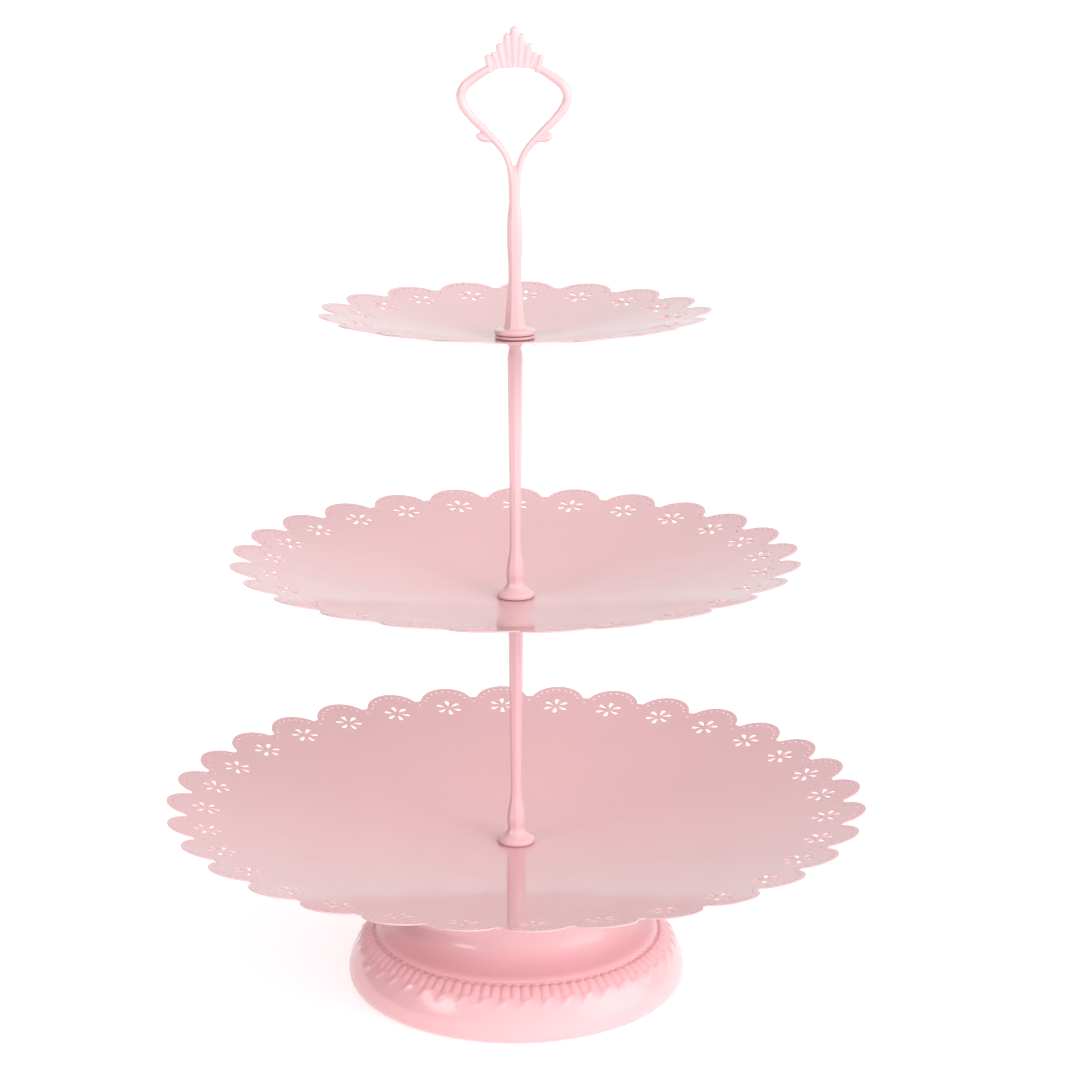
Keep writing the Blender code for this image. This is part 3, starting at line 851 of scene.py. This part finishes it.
def white_floor():
    material, tree, shader = new_material("white_floor")
    base = mix(tree, spread(tree, noise(tree, 3, 4), 0.0, 1.0), (0.80, 0.80, 0.80), (0.78, 0.78, 0.785))
    tree.links.new(base, shader.inputs["Base Color"])
    shader.inputs["Roughness"].default_value = 0.75
    shader.inputs["Specular IOR Level"].default_value = 0.1
    tree.links.new(base, shader.inputs["Emission Color"])
    shader.inputs["Emission Strength"].default_value = FLOOR_GLOW
    return material


def finish_piece(item, body, nodes, slot):
    """Gives a piece its look and its body, and hides the CAD nodes that it stands for."""
    item.data.materials.clear()
    item.data.materials.append(LOOKS[slot])
    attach(item, body)
    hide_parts(*nodes)
    return item


# Studio


def make_floor():
    form = bmesh.new()
    bmesh.ops.create_grid(form, x_segments=8, y_segments=8, size=FLOOR_REACH)
    mesh = bpy.data.meshes.new("floor")
    form.to_mesh(mesh)
    form.free()
    floor = link("floor", mesh)
    floor.data.materials.append(white_floor())


def sun(name, place, strength, angle):
    """A far round softbox, `angle` degrees wide, that shines from the direction of `place`."""
    data = bpy.data.lights.new(name, "SUN")
    data.energy = strength
    data.angle = math.radians(angle)
    item = bpy.data.objects.new(name, data)
    item.rotation_euler = Vector(place).to_track_quat("Z", "Y").to_euler()
    item.visible_glossy = False
    bpy.context.scene.collection.objects.link(item)


# Soft panels round the stand: direction, the angles in degrees that it is full and gone at, strength
WALLS = 0.56
PANELS = (
    ((0.05, 1.00, 0.22), 25, 65, 0.46),
    ((0.92, -0.30, 0.30), 14, 32, 2.2),
    ((-0.72, -0.52, 0.46), 7, 15, 4.5),
    ((0.25, -1.00, 0.30), 22, 55, 0.45),
)
FLAG = ((-0.94, 0.32, 0.06), 28, 48, -0.54)  # below 0, so it takes light away

CAMERA_PLACE = (0.0103, -0.980, 0.445)
CAMERA_PITCH = 75.77  # degrees up from straight down
CAMERA_LENS = 80.14
FLOOR_REACH = 150.0


def panel(tree, direction, aim, full, gone, strength):
    """A soft-edged round panel's light along each direction."""
    dot = tree.nodes.new("ShaderNodeVectorMath")
    dot.operation = "DOT_PRODUCT"
    tree.links.new(direction, dot.inputs[0])
    dot.inputs[1].default_value = Vector(aim).normalized()
    edges = (math.cos(math.radians(gone)), math.cos(math.radians(full)))
    return spread(tree, dot.outputs["Value"], 0.0, strength, *edges)


def make_world():
    """Pale walls with soft panels in them, and a grey flag on the left."""
    world = bpy.data.worlds.new("studio")
    bpy.context.scene.world = world
    world.use_nodes = True
    tree = world.node_tree
    direction = tree.nodes.new("ShaderNodeTexCoord").outputs["Generated"]
    total = add(tree, "ShaderNodeValue").outputs[0]
    total.default_value = WALLS
    for aim, full, gone, strength in (*PANELS, FLAG):
        plus = tree.nodes.new("ShaderNodeMath")
        tree.links.new(total, plus.inputs[0])
        tree.links.new(panel(tree, direction, aim, full, gone, strength), plus.inputs[1])
        total = plus.outputs[0]
    tree.links.new(total, tree.nodes["Background"].inputs["Strength"])
    tree.nodes["Background"].inputs["Color"].default_value = (0.98, 0.992, 1.0, 1)


def make_lights():
    sun("key", (0.62, -0.60, 0.50), 0.88, 24)
    sun("front", (0.25, -1.00, 0.14), 1.0, 45)


def make_camera():
    data = bpy.data.cameras.new("camera")
    data.lens = CAMERA_LENS
    data.sensor_width = 36
    data.sensor_fit = "HORIZONTAL"
    data.clip_start = 0.01
    item = bpy.data.objects.new("camera", data)
    pitch = Matrix.Rotation(math.radians(CAMERA_PITCH), 4, "X")
    item.matrix_world = Matrix.Translation(CAMERA_PLACE) @ pitch
    bpy.context.scene.collection.objects.link(item)
    bpy.context.scene.camera = item


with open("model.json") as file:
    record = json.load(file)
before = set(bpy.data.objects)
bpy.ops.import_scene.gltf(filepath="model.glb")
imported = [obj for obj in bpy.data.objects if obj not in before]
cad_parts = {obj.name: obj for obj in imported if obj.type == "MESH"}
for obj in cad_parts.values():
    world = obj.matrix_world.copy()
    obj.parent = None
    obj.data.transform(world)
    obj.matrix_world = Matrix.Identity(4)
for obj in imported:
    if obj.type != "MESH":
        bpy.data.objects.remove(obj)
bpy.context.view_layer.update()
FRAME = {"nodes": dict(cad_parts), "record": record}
LOOKS = {"pink_enamel": pink_enamel(), "clear_rubber": clear_rubber(), "zinc_steel": zinc_steel()}
SLOTS = {s["node"]: s["material_slot"] for s in FRAME["record"]["subparts"]}
for node_name, node_item in FRAME["nodes"].items():
    node_item.data.materials.clear()
    node_item.data.materials.append(LOOKS[SLOTS[node_name]])

make_pedestal()
for dish_name in DISHES:
    make_dish(dish_name)
make_rod("lower_rod", "lower_rod_faceted", "lower_rod")
make_rod("upper_rod", "upper_rod_faceted", "upper_rod")
make_handle()
make_rings()
make_pads()
make_bolt()
make_floor()
make_world()
make_lights()
make_camera()
bpy.context.scene.view_settings.view_transform = "Standard"
